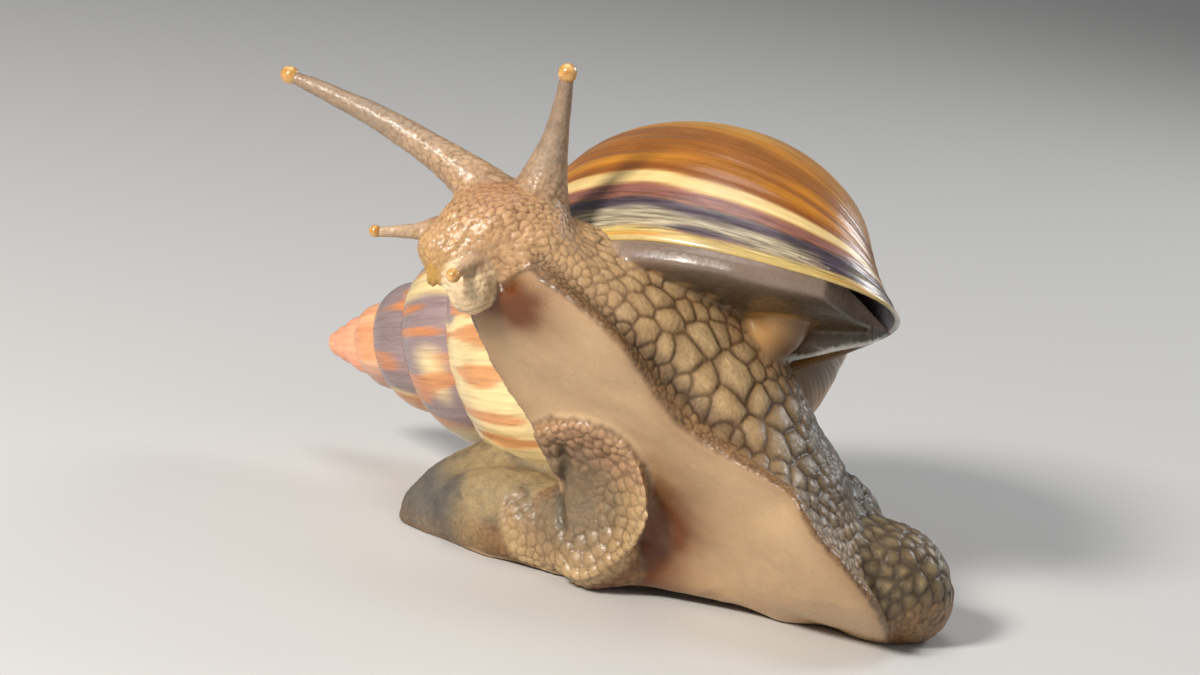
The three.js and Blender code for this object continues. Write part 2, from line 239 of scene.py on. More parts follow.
# An ellipsoid: its middle, the way its first half length points, the way its second does.
def blobGrid(at, along, across, half, rows=36, columns=48):
    first, second, third = threeWays(along, across)
    polar = np.linspace(0.02, np.pi - 0.02, rows)[:, None]
    turn = np.linspace(0, 2 * np.pi, columns, endpoint=False)[None]
    a = np.cos(polar) * half[0] + 0 * turn
    b = np.sin(polar) * np.cos(turn) * half[1]
    c = np.sin(polar) * np.sin(turn) * half[2]
    return vector(at) + a[..., None] * first + b[..., None] * second + c[..., None] * third


# A round limb: a circle whose radius changes carried along a smooth path through the points.
def limbGrid(path, radii, rows=60, columns=28):
    path = vector(path)
    t = np.linspace(0, 1, rows)
    middle = between(path, t * (len(path) - 1))
    radius = between(vector(radii)[:, None], t * (len(radii) - 1))
    ahead = unit(np.gradient(middle, axis=0))
    side = unit(np.cross(np.array([0.3, -1, 0.4]), ahead))
    up = np.cross(ahead, side)
    turn = np.linspace(0, 2 * np.pi, columns, endpoint=False)[None]
    ring = np.cos(turn)[..., None] * side[:, None] + np.sin(turn)[..., None] * up[:, None]
    return middle[:, None] + radius[:, None] * ring


# The fold: an ear of skin. Round its middle a profile runs out to a rolled edge that comes forward,
# turns over, and goes back behind it.
fold = {
    "middle": (-20, -15.5, 17),
    "from": -108,  # degrees, from +X towards +Z
    "to": 125,
    "reach": (13, 17, 16.5, 17.5, 14.5),  # from the middle to the edge, along the turn
    "forward": (-2, 9.5, 13, 12, 4),  # how far the edge stands in front of the middle
    "curve": 2.2,
    "thick": 2.0,
    "rollFrom": 0.86,  # of the reach, where the edge starts to turn over
    "hollowBack": 7,
    "size": 16.5,  # usual reach, for its colours
}


def foldGrid(rows=90, columns=60):
    turn = np.linspace(0, 1, rows)
    angle = np.radians(mixed(fold["from"], fold["to"], turn))
    reach = between(fold["reach"], turn * 4)
    forward = between(fold["forward"], turn * 4)
    run = np.linspace(0, 2, columns)[None]  # 0 to 1 the front, 1 to 2 the back
    out = 1 - np.abs(run - 1)
    front = run < 1
    rolled = np.clip((out - fold["rollFrom"]) / (1 - fold["rollFrom"]), 0, 1)
    lip = np.sqrt(np.clip(1 - rolled**2, 0, 1))
    ahead = forward[:, None] * out ** fold["curve"] + np.where(front, lip, -lip) * fold["thick"]
    ahead = ahead - np.where(front, 0, fold["hollowBack"] * (1 - out) ** 0.6)
    radial = (reach[:, None] * out)[..., None]
    way = np.stack([np.cos(angle), 0 * angle, np.sin(angle)], -1)[:, None]
    return vector(fold["middle"]) + radial * way - ahead[..., None] * np.array([0, 1, 0])


head = {  # each form's middle, way along, way across and half lengths
    "skull": ((-38.6, -24, 65.6), (-0.95, -0.2, -0.24), (0, 0.1, 1), (13.4, 9.4, 9.2)),
    "snout": ((-47, -27.6, 62), (-1, -0.2, 0.1), (0, 1, 0), (6.6, 6.2, 5.4)),
    "brow": ((-40, -20, 70), (-0.9, 0.1, 0.25), (0, 0, 1), (9, 6, 6.5)),
    "cheek": ((-32, -27.2, 63.8), (1, 0, -0.3), (0, 0, 1), (8.5, 7, 7)),
    "lobeLeft": ((-42.6, -32.6, 57), (0.25, -0.1, -1), (1, 0, 0.25), (5.6, 4.4, 4.2)),
    "lobeRight": ((-49.4, -30.5, 57.6), (0, 0, 1), (0, 1, 0), (3.1, 2.2, 1.8)),
}
tentacles = {
    "upperRight": dict(
        path=[
            (-40, -19.5, 69.5), (-48, -17.5, 75), (-62, -12.5, 80.5), (-72.5, -9, 83.4), (-82.3, -5.5, 85.6),
        ],
        radii=(6.6, 4.7, 3.3, 2.6, 2.1, 1.7, 1.15),
    ),
    "upperLeft": dict(
        path=[(-33.5, -20, 66.5), (-32.6, -20.6, 76), (-31.5, -22, 85.5), (-31.2, -23.7, 96.2)],
        radii=(8, 6.3, 4.7, 3.3, 2.3, 1.7, 1.3),
    ),
    "lowerRight": dict(
        path=[(-50, -22, 64), (-55.5, -24, 63.5), (-61.2, -24.7, 62.6)], radii=(3.2, 1.7, 1.2, 0.95)
    ),
    "lowerLeft": dict(
        path=[(-41.6, -31, 62.1), (-43.5, -36, 61), (-45.2, -40.5, 60.2)], radii=(2.2, 1.4, 1.1, 1)
    ),
}
heel = {
    "heel": ((27, -10, 12), (0.2, 0.2, 1), (0.8, 0.6, 0), (17, 17, 12)),
    "bulge": ((41, -16, 10), (0.7, 0.3, -0.3), (0, 0, 1), (15.5, 12, 13)),
    "seat": ((7, -16.5, 2), (1, -0.12, 0.1), (0, 0, 1), (16, 3.5, 3.6)),
    "sill": ((-8, -16.5, 3.5), (1, -0.15, 0), (0, 0, 1), (10, 5.5, 4.5)),
    "flank": ((-27, -4, 7), (0.9, -0.45, 0), (0, 0, 1), (19, 10.5, 8)),
}
mantleLobe = ((14.5, -13.5, 56.5), (0.25, 0, 1), (0, 1, 0), (8.5, 5, 6))
# Where the joins between the forms are evened out further: middle, reach, steps.
softened = [
    ((6, -19, 5), 19, 200),  # below the sole
    ((-14, -19, 16), 10, 30),  # between the ear and the sole
    ((-5, -21, 4), 9, 90),  # under the ear
    ((-27, -12, 10), 13, 110),  # between the ear and the flank
    ((30, -16, 14), 16, 50),  # between the sole's rear and the bulge
    ((-31, -28, 61), 11, 50),  # behind the head
]

# The shell is one slanted ellipse that turns round an axis and grows with every turn.
shell = {
    "apex": (-76, 58.3, 21.4),
    "base": (41.4, -9.5, 56.9),
    "growth": 1.5,  # in one turn
    "turns": 7.6,
    "halfLength": 33,  # of the last whorl's section along the axis, and across it
    "halfWidth": 25.5,
    "reach": 18.3,  # of that section's middle from the axis, and along it from the apex
    "along": 91,
    "slant": 20,
    "lip": 60,  # degrees from straight up towards the viewer
    "sweep": 4,  # degrees that the lip's lower end runs on
    "sweepFrom": 0.72,
    "wall": 0.9,
    "rows": 1060,
    "columns": 84,
    "inside": 0.62,  # turns that the inner wall runs back
    "ribs": 38,  # in one turn, with fine ones between
    "fineRibs": 91,
    "ribHigh": 0.05,
    "rests": 7.3,  # pauses of growth in one turn
    "restHigh": 0.16,
}
shellAxis = vector(shell["base"]) - vector(shell["apex"])
shellLength = np.linalg.norm(shellAxis)
shellAxis = shellAxis / shellLength
shellUp = unit(np.array([0, 0, 1.0]) - shellAxis * shellAxis[2])
shellSide = np.cross(shellAxis, shellUp)
slant = math.radians(shell["slant"])
slantCos, slantSin = math.cos(slant), math.sin(slant)
tallest = shell["along"] + math.hypot(shell["halfLength"] * slantCos, shell["halfWidth"] * slantSin)


def lipSweep(height):  # degrees by which the lip runs on towards the shell's base
    return shell["sweep"] * smoothstep(shell["sweepFrom"], 1, height)


def fromAxis(height, turn, radius):  # height as a share of the shell's length, turn in radians from up
    return (
        vector(shell["apex"]) + (height * shellLength)[..., None] * shellAxis
        + (radius * np.cos(turn))[..., None] * shellUp + (radius * np.sin(turn))[..., None] * shellSide
    )


# Points of the spiral: at each turn before the lip a slanted ellipse, smaller by the growth, stands out
# from the axis. inset draws the ellipse in for the inner wall.
def spiral(turn, around, inset=0.0):
    size = shell["growth"] ** -turn
    a = (shell["halfWidth"] - inset) * np.cos(around)
    b = (shell["halfLength"] - inset) * np.sin(around)
    radius = size * (shell["reach"] + a * slantCos - b * slantSin)
    height = size * (shell["along"] + a * slantSin + b * slantCos) / tallest
    fade = np.clip(1 - turn * 2.5, 0, 1) ** 1.5
    return fromAxis(height, np.radians(shell["lip"] + lipSweep(height) * fade) - turn * 2 * np.pi, radius)


# The wall's radius at a height and angle, as the furthest out of the whorls that pass there: the outer
# root of each slanted ellipse's equation at that height.
def wallRadius(height, angle):
    turn = (shell["lip"] + 360 - angle) / 360
    c, s = slantCos, slantSin
    wideInverse, lengthInverse = shell["halfWidth"] ** -2.0, shell["halfLength"] ** -2.0
    radius = np.full(np.broadcast(height, angle).shape, 0.6)
    for whorl in range(8):
        size = shell["growth"] ** -(whorl + turn)
        rise = height * tallest / size - shell["along"]
        a = c * c * wideInverse + s * s * lengthInverse
        b = rise * c * s * (wideInverse - lengthInverse)
        d = rise * rise * (s * s * wideInverse + c * c * lengthInverse) - 1
        inside = b * b - a * d
        reached = size * (shell["reach"] + (np.sqrt(np.maximum(inside, 0)) - b) / a)
        radius = np.where(inside > 0, np.maximum(radius, reached), radius)
    return radius


# The mantle: soft skin in the shell's mouth. A thick rounded collar comes out from under the lip; past it
# the skin dips in steeply and lies on the wall of the whorl before.
mantle = {
    "from": 0.56,  # share of the shell's length
    "to": 0.957,
    "under": 5,  # degrees that it starts inside the lip
    "inset": 1.3,  # inside the lip's radius
    "collar": 2.4,  # how far the collar stands out
    "collarAt": 4.5,  # degrees past the lip, and the collar's half width
    "collarWide": 3.8,
    "dipFrom": 6.5,
    "dipTo": 17,
    "wide": 66,  # degrees that it covers at its upper end, and at its lower one
    "narrow": 34,
    "bend": 1.5,
    "cover": 1.0,  # over the wall
    "gap": 0.35,
    "thick": 0.9,
    "thin": 0.3,  # least share of the lip's radius
}


def mantleSpan(share):
    return mixed(mantle["wide"], mantle["narrow"], share ** mantle["bend"])


def mantleGrid(rows=110, across=64):
    share = np.linspace(0, 1, rows)[:, None]
    height = mixed(mantle["from"], mantle["to"], share)
    lipAngle = shell["lip"] + lipSweep(height)
    past = mixed(-mantle["under"], mantleSpan(share), np.linspace(0, 1, across)[None] ** 1.5)
    angle = lipAngle + past
    lip = wallRadius(height, lipAngle + 359.99)
    wall = wallRadius(height, lipAngle + np.maximum(past, 0.01)) + mantle["gap"]
    rest = np.maximum(wall + mantle["cover"], lip * mantle["thin"])
    ending = smoothstep(1.0, 0.75, share)
    collar = bump(past - mantle["collarAt"], mantle["collarWide"]) * mantle["collar"] * ending
    dip = smoothstep(mantle["dipFrom"], mantle["dipTo"], past)
    outer = np.maximum(mixed(lip - mantle["inset"] + collar, rest, dip), rest)
    outer = np.minimum(outer, lip + mixed(-mantle["gap"], 1.5 * ending - 0.8, smoothstep(0.3, 2.5, past)))
    inner = np.minimum(wall, outer - mantle["thick"])
    radius = np.concatenate([outer, inner[:, ::-1]], 1)
    angle = np.concatenate([angle, angle[:, ::-1]], 1)
    return fromAxis(np.broadcast_to(height, radius.shape), np.radians(angle), radius)


print("stage: rough body")
places, trunk = trunkGrid(body["rows"], body["columns"])
grids = [trunk, foldGrid()] + [blobGrid(*form) for form in [*heel.values(), *head.values(), mantleLobe]]
points, quads, triangles = joined([closedGrid(grid) for grid in grids])
points[:, 2] = np.maximum(points[:, 2], 0)
coarse = remeshed("roughBody", points, quads, triangles, body["coarse"])
coarseEdges = edgesOf(coarse)
coarsePoints = relaxed(pointsOf(coarse) / mm, coarseEdges, 7)
for at, reach, steps in softened:
    share = 0.6 * smoothstep(reach, 0.55 * reach, lengths(coarsePoints - vector(at)))[:, None]
    for _ in range(steps):
        coarsePoints = coarsePoints + share * (neighbourMean(coarsePoints, coarseEdges) - coarsePoints)
        coarsePoints[:, 2] = np.maximum(coarsePoints[:, 2], 0)

print("stage: fine skin")
limbs = {name: limbGrid(**form) for name, form in tentacles.items()}
mantleSkin = mantleGrid()
coarseQuads = readFrom(coarse.loops, "vertex_index", 1, np.int32).reshape(-1, 4)  # a remesh gives only quads
surfaces = [(coarsePoints, coarseQuads, np.zeros((0, 3), int))]
surfaces += [closedGrid(grid) for grid in [*limbs.values(), mantleSkin]]
fine = remeshed("fineBody", *joined(surfaces), body["fine"])
edges = edgesOf(fine)
flesh = relaxed(pointsOf(fine) / mm, edges, 3, back=0.3)
flesh[:, 2] = np.maximum(flesh[:, 2], 0)
fine.vertices.foreach_set("co", (flesh * mm).astype(np.float32).ravel())
fine.update()
normals = readFrom(fine.vertex_normals, "vector", 3).astype(float)
fleshX, fleshY, fleshZ = flesh.T
print("stage: places on the body", len(flesh))


# For each point the nearest of a few thousand samples, in slices to keep the tables small.
def nearest(points, samples, slices=4096):
    found = np.empty(len(points), int)
    samples = samples.astype(np.float32)
    length = (samples**2).sum(1)
    for start in range(0, len(points), slices):
        some = points[start:start + slices].astype(np.float32)
        found[start:start + slices] = np.argmin(length - 2 * some @ samples.T, axis=1)
    return found


# Value noise from -1 to 1: random numbers on a cubic lattice, blended smoothly between its corners.
def noise(points, size, seed):
    table = np.random.default_rng(seed).random((24, 24, 24))
    p = points / size + 1000  # keeps every place positive
    cell = np.floor(p).astype(int)
    f = p - cell
    f = f * f * (3 - 2 * f)
    total = 0
    for corner in range(8):
        step = np.array([corner & 1, corner >> 1 & 1, corner >> 2])
        weight = np.prod(np.where(step, f, 1 - f), axis=-1)
        i, j, k = ((cell + step) % 24).T
        total = total + weight * table[i, j, k]
    return total * 2 - 1


# Body coordinates: the nearest place on a thinned trunk, corrected along its two tangents.
thin = trunk[::2, ::2]
thinColumns = thin.shape[1]
acrossWay = unit(np.roll(thin, -1, 1) - np.roll(thin, 1, 1))
stepAcross = lengths(np.roll(thin, -1, 1) - thin)
arc = np.concatenate([np.zeros((len(thin), 1)), np.cumsum(stepAcross, 1)], 1)
marginColumn = int(round(body["soleShare"] * thinColumns))
onSole = np.tile(np.arange(thinColumns) <= marginColumn, (len(thin), 1))
# How far over the back from the left margin and from the right one; less than 0 on the sole.
fromLeft = arc[:, :-1] - arc[:, marginColumn, None]
fromRight = np.where(onSole, -arc[:, :-1], arc[:, -1:] - arc[:, :-1])
bodyParts = [thin.reshape(-1, 3), mantleSkin[::3, ::2].reshape(-1, 3), foldGrid(46, 40).reshape(-1, 3)]
label = np.concatenate([np.full(len(p), k) for k, p in enumerate(bodyParts)])
kind = label[nearest(flesh, np.vstack(bodyParts))]  # 0 trunk, 1 mantle, 2 fold
inTrunk = nearest(flesh, bodyParts[0])
offset = flesh - bodyParts[0][inTrunk]
offTrunk = lengths(offset)
rowWay = np.gradient(thin, axis=0)
lengthWay = unit(rowWay).reshape(-1, 3)[inTrunk]
rowStep = lengths(rowWay).reshape(-1)[inTrunk]
place = places[::2][inTrunk // thinColumns]  # stations from the tail
place = place + (offset * lengthWay).sum(1) / np.maximum(rowStep, 0.2) * (places[2] - places[0])
sideStep = (offset * acrossWay.reshape(-1, 3)[inTrunk]).sum(1)
leftArc = fromLeft.reshape(-1)[inTrunk] + sideStep
rightArc = fromRight.reshape(-1)[inTrunk] - np.where(onSole.reshape(-1)[inTrunk], -1, 1) * sideStep
leftSide = np.abs(leftArc) < np.abs(rightArc)
margin = relaxed(np.where(leftSide, leftArc, rightArc), edges, 4)  # from the nearer margin


def limbPlace(grid):  # distance outside a limb's skin and how far along it
    middle = grid.mean(1)
    radius = lengths(grid[:, 0] - middle)
    at = nearest(flesh, middle)
    return lengths(flesh - middle[at]) - radius[at], at / (len(middle) - 1)


def insideBlob(at, along, across, half):  # 1 on the ellipsoid's skin, less inside
    d = flesh - vector(at)
    return np.sqrt(sum((d @ way / h) ** 2 for way, h in zip(threeWays(along, across), half)))


def onBlob(form, start, end):  # 1 on a form and near it, 0 from start times its size outwards
    return smoothstep(start, end, insideBlob(*form))


# Where the points lie, each from 0 to 1: on a tentacle, on the face, on the sole and so on.
horn = np.zeros(len(flesh))
hornPlace = np.zeros(len(flesh))
feeler = np.zeros(len(flesh))
for name, grid in limbs.items():
    off, along = limbPlace(grid)
    here = smoothstep(1.1, 0.3, off) * smoothstep(0.0, 0.12, along)
    hornPlace = np.where(here > horn, along, hornPlace)
    horn = np.maximum(horn, here)
    if name.startswith("lower"):
        feeler = np.maximum(feeler, here)
notHorn = 1 - horn
lobes = np.maximum(onBlob(head["lobeLeft"], 1.25, 1.02), onBlob(head["lobeRight"], 1.3, 1.02))
face = np.maximum(onBlob(head["skull"], 1.35, 1.05), np.maximum(onBlob(head["snout"], 1.5, 1.1), lobes))
face = np.clip(face, 0, 1) * notHorn
notFace = 1 - face
lobeLeft = onBlob(head["lobeLeft"], 1.3, 1.05)
bulge = np.maximum(onBlob(heel["bulge"], 1.25, 1.02), onBlob(heel["heel"], 1.1, 1.0))
lobe = onBlob(mantleLobe, 1.3, 1.05)
cloak = relaxed((kind == 1).astype(float), edges, 3)
fromEar = flesh - vector(fold["middle"])
earOut = np.hypot(fromEar[:, 0], fromEar[:, 2]) / fold["size"]
ear = relaxed(((kind == 2) & (earOut > 0.42)).astype(float), edges, 6)
notEar = 1 - ear
underTrunk = (margin < 0) & (kind == 0) & (offTrunk < 3)
sole = relaxed((underTrunk | (onBlob(heel["seat"], 1.35, 1.1) > 0.5)).astype(float), edges, 2)
sole = sole * notFace * notHorn
notSole = 1 - sole
lifted = 1 - smoothstep(0.9, 0.15, fleshZ)  # off the floor
raised = smoothstep(5.9, 6.6, place)  # the reared front part
toHead = smoothstep(8.6, 10.0, place)
flank = smoothstep(-2, -10, fleshX) * smoothstep(30, 24, fleshZ) * notSole * notEar
rear = np.maximum(1 - smoothstep(4.0, 5.0, place), flank)
textured = notSole * (1 - cloak) * (1 - lobe)

print("stage: tubercles")
cells = {  # sizes in mm of the skin's tubercles
    "least": 1.0, "most": 7,
    "back": 2.3, "nape": 2.2, "flankMore": 4.4, "toHead": 1.9, "face": 1.05, "rear": 2.0, "bulge": 3.4,
    "fringe": 1.5, "earMiddle": 2.5, "earRim": 1.6, "hornBase": 1.5, "horn": 1.0,
    "crowding": 0.42,  # how near two may stand, as a share of their sizes together
    "tries": 60000,
    "batches": 60,
    "grooveWide": 0.26,
    "grooveSoft": 0.11,
    "domeWide": 0.66,
    "deep": 0.19,  # share of a cell's size
    "shallowest": 0.27,
    "deepest": 0.95,
}
mouth = {"corner": (-49.6, -31.5, 59.6), "wrinkles": 15, "depth": 0.34}
furrowForm = {"at": 5.4, "wide": 2.3, "deep": 1.3}  # mm over the back from the left margin
lobeLines = {"apart": 1.3, "deep": 0.16}
earCrease = {"heights": [9, 17, 23, 29], "at": [-19, -21.5, -20.5, -22.5], "wide": 1.1, "deep": 1.2}

big = bump(np.clip(margin - 13, -30, 30), 9.5) * smoothstep(6.5, 7.5, place)
cellSize = cells["back"] + mixed(cells["flankMore"], cells["nape"], smoothstep(7.9, 9.0, place)) * big
for size, share in (
    (cells["toHead"], toHead),
    (cells["face"], face),
    (cells["rear"], rear),
    (cells["bulge"], bulge * notSole),
    (cells["fringe"], smoothstep(4.5, 2.5, margin) * notFace),
    (mixed(cells["earMiddle"], cells["earRim"], smoothstep(0.65, 0.9, earOut)), ear),
    (mixed(cells["hornBase"], cells["horn"], smoothstep(0.1, 0.5, hornPlace)), horn),
):
    cellSize = mixed(cellSize, size, share)
cellSize = cellSize * (1 + 0.25 * noise(flesh, 7, 3) + 0.2 * noise(flesh, 2.6, 4))
cellSize = np.clip(cellSize, cells["least"], cells["most"])

# Cells are longer than wide where stretch is under 1: along the body on the nape, away from the mouth on
# the head, away from the ear's middle on its rim. At the foot's margin they are shorter.
stretch = 1 + 0.45 * smoothstep(14, 4, margin) * notFace
stretch -= 0.45 * smoothstep(8.4, 9.6, place) * smoothstep(8, 16, margin) * notFace
ways = lengthWay.copy()
onEar = ear > 0.5
ways[onEar] = unit(fromEar[onEar] * np.array([1, 0.3, 1]))
stretch[onEar] = mixed(1, 0.5, smoothstep(0.6, 0.9, earOut[onEar]))
onFace = face > 0.5
fromCorner = flesh - vector(mouth["corner"])
ways[onFace] = unit(fromCorner[onFace])
stretch[onFace] = 0.5
flesh32, ways32 = flesh.astype(np.float32), ways.astype(np.float32)


def clash(some, others):  # whether points stand too close together, by the stretched distance
    a, b, way = flesh32[some], flesh32[others], ways32[some]
    apart = (a**2).sum(1)[:, None] + (b**2).sum(1) - 2 * a @ b.T
    apart += (stretch[some][:, None] ** 2 - 1) * ((a * way).sum(1)[:, None] - way @ b.T) ** 2
    return apart < (cells["crowding"] * (cellSize[some][:, None] + cellSize[others])) ** 2


# Cell middles: points of the skin taken in random order, each kept if it stands clear of those kept before.
def scattered():
    chance = (1 / cellSize**2) * (textured >= 0.3)
    many = min(cells["tries"], int((chance > 0).sum()))
    order = rng.choice(len(flesh), many, replace=False, p=chance / chance.sum())
    kept = order[:1]
    for batch in np.array_split(order[1:], cells["batches"]):
        batch = batch[~clash(batch, kept).any(1)]
        while len(batch):
            earlier = np.tril(clash(batch, batch), -1)
            free = ~earlier.any(1)
            kept = np.concatenate([kept, batch[free]])
            batch = batch[~free & ~earlier[:, free].any(1)]
    return kept


# For each point its two nearest cell middles, by the stretched distance in cell sizes.
def twoNearest(picked, slices=2048):
    one, two, which = np.empty(len(flesh)), np.empty(len(flesh)), np.empty(len(flesh), int)
    middles, ahead = flesh32[picked], ways32[picked]
    inverse = (1 / cellSize[picked] ** 2).astype(np.float32)
    more = (stretch[picked] ** 2 - 1).astype(np.float32)
    own, ownWay = (middles**2).sum(1), (middles * ahead).sum(1)
    for start in range(0, len(flesh), slices):
        some = flesh32[start:start + slices]
        d = (some**2).sum(1)[:, None] - 2 * some @ middles.T + own
        d += more * (some @ ahead.T - ownWay) ** 2
        d *= inverse
        first = np.argmin(d, 1)
        rows = np.arange(len(some))
        one[start:start + slices] = np.sqrt(np.maximum(d[rows, first], 0))
        d[rows, first] = np.inf
        two[start:start + slices] = np.sqrt(np.maximum(d.min(1), 0))
        which[start:start + slices] = first
    return one, two, which


picked = scattered()
print("stage: cells", len(picked))
one, two, which = twoNearest(picked)
gap = two - one
cellTone = rng.random(len(picked))[which]

# How far each point moves out: the cells, part flat-topped and part domed, then the larger forms.
domed = 0.5 + 0.25 * ear + 0.2 * face
cellHeight = (1 - domed) * (1 - np.exp(-gap / cells["grooveSoft"]))
cellHeight = cellHeight + domed * np.clip(1 - (one / cells["domeWide"]) ** 2, 0, 1)
groove = (1 - smoothstep(0.0, cells["grooveWide"], gap)) * (0.75 + 0.35 * noise(flesh, 5, 13))
uneven = 0.85 + 0.35 * noise(flesh, 6, 14)
depth = np.clip(cells["deep"] * cellSize, cells["shallowest"], cells["deepest"]) * uneven * (1 + 0.5 * ear)
hornSkin = horn * smoothstep(0.3, 0.6, hornPlace)
depth = depth * textured * (1 - 0.8 * lobeLeft) * (1 - 0.2 * horn - 0.65 * hornSkin)
depth = depth * (1 - 0.55 * rear * notEar)
rise = (cellHeight - 1) * depth * lifted
furrow = bump(margin - furrowForm["at"], furrowForm["wide"]) * smoothstep(6.9, 7.7, place)
furrow = furrow * notFace * notHorn * leftSide
rise -= furrowForm["deep"] * relaxed(furrow, edges, 3)
spoke = np.arctan2(fromCorner[:, 2], fromCorner[:, 0]) + 0.12 * noise(flesh, 4, 16)
wrinkle = np.maximum(np.cos(spoke * mouth["wrinkles"]), 0) ** 2
rise -= mouth["depth"] * wrinkle * bump(lengths(fromCorner) - 6, 5) * face
rise += 0.09 * noise(flesh, 1.7, 15) * textured * lifted
ringed = np.sin(2 * np.pi * (fleshZ - 0.35 * fleshX + 0.4 * noise(flesh, 3, 17)) / lobeLines["apart"])
ringed = np.maximum(ringed, 0) ** 5 * (0.75 + 0.4 * noise(flesh, 2.5, 18))
rise -= lobeLines["deep"] * ringed * lobeLeft
rise += sole * (0.45 * noise(flesh, 9, 11) + 0.1 * noise(flesh, 2.5, 19)) * lifted
creased = bump(np.interp(fleshZ, earCrease["heights"], earCrease["at"]) - fleshX, earCrease["wide"])
creased = creased * smoothstep(9, 12, fleshZ) * smoothstep(29, 25, fleshZ)
creased = creased * smoothstep(-9, -13, fleshY) * notSole
rise -= earCrease["deep"] * creased
rise += notSole * lifted * 0.25 * noise(flesh, 6, 12) * notHorn
moved = flesh + normals * rise[:, None]
moved[:, 2] = np.maximum(moved[:, 2], 0)

# Where the points lie on the shell: height along the axis, radius from it, and turn past the lip.
fromApex = flesh - vector(shell["apex"])
heightIn = fromApex @ shellAxis / shellLength
radiusIn = np.hypot(fromApex @ shellSide, fromApex @ shellUp)
turnIn = np.degrees(np.arctan2(fromApex @ shellSide, fromApex @ shellUp))
turnIn = shell["lip"] + (turnIn - shell["lip"] + 15) % 360 - 15
pastLip = turnIn - shell["lip"] - lipSweep(heightIn)
down = np.clip((heightIn - mantle["from"]) / (mantle["to"] - mantle["from"]), 0, 1)
mantleEnd = mantleSpan(down) - pastLip  # degrees short of the mantle's far edge
buried = (heightIn < 0.97) & (radiusIn < wallRadius(np.clip(heightIn, 0.01, 0.99), turnIn) - 2)
moved = np.where(buried[:, None], flesh, moved)  # left smooth inside the shell, where few faces are enough
fine.vertices.foreach_set("co", (moved * mm + shift).astype(np.float32).ravel())


def tint(red, green, blue):  # a screen colour as the linear numbers Blender wants
    c = np.array([red, green, blue]) / 255
    return np.where(c <= 0.04045, c / 12.92, ((c + 0.055) / 1.055) ** 2.4)


def painted(base, over, share):
    return mixed(base, over, np.clip(share, 0, 1)[:, None])


def layered(paint, tints, layers):  # each layer in turn: a tint's name or a painting, and its share
    for over, share in layers:
        paint = painted(paint, tints[over] if isinstance(over, str) else over, share)
    return paint


skinTints = {  # screen colours
    "cellPale": (192, 162, 118),
    "cellDeep": (156, 120, 78),
    "groove": (72, 44, 22),
    "halo": (116, 84, 50),
    "nape": (112, 82, 52),
    "fringe": (140, 104, 66),
    "fringeGroove": (62, 40, 22),
    "face": (190, 152, 110),
    "faceGroove": (132, 90, 58),
    "brow": (156, 104, 66),
    "feeler": (182, 154, 124),
    "feelerBase": (160, 124, 92),
    "crack": (66, 42, 24),
    "lips": (220, 192, 152),
    "lipsGroove": (136, 98, 66),
    "horn": (164, 144, 122),
    "hornEnd": (142, 118, 96),
    "sole": (192, 160, 122),
    "soleEdge": (166, 132, 96),
    # colour of the painted shadows on the sole
    "soleShadow": (104, 54, 14),
    "ear": (170, 138, 96),
    "earTop": (162, 122, 92),
    "flank": (148, 126, 88),
    "flankDark": (92, 80, 64),
    # grey of a painted shadow over the tail's end
    "tailEndShadow": (78, 76, 74),
    # dark skin of the bulge and lower flank, partly painted shade on the sides away from the light
    "rumpAndShade": (70, 58, 40),
    "rumpPale": (144, 124, 86),
    "cloak": (78, 66, 52),
    "cloakWarm": (112, 88, 58),
    "callus": (214, 212, 206),
    "collar": (146, 124, 110),
    "lobe": (172, 128, 72),
    "amber": (180, 138, 66),
}
spots = {  # soft round marks: middle, reach, and how far each way they are drawn out
    "brow": ((-39.5, -25, 72), 6.5, 1),
    "mouth": (mouth["corner"], 4.5, 1),
    # painted shadows on the sole: under the mouth's lobe, and beside the ear
    "shadowUnderMouth": ((-36.2, -33.5, 54.8), 6.2, (1.5, 1.4, 1.05)),
    "shadowBesideEar": ((-1.5, -23, 12), 8.5, (1, 2, 2.1)),
}


def spot(name):
    at, reach, drawn = spots[name]
    return bump(lengths((flesh - vector(at)) / vector(drawn)), reach)


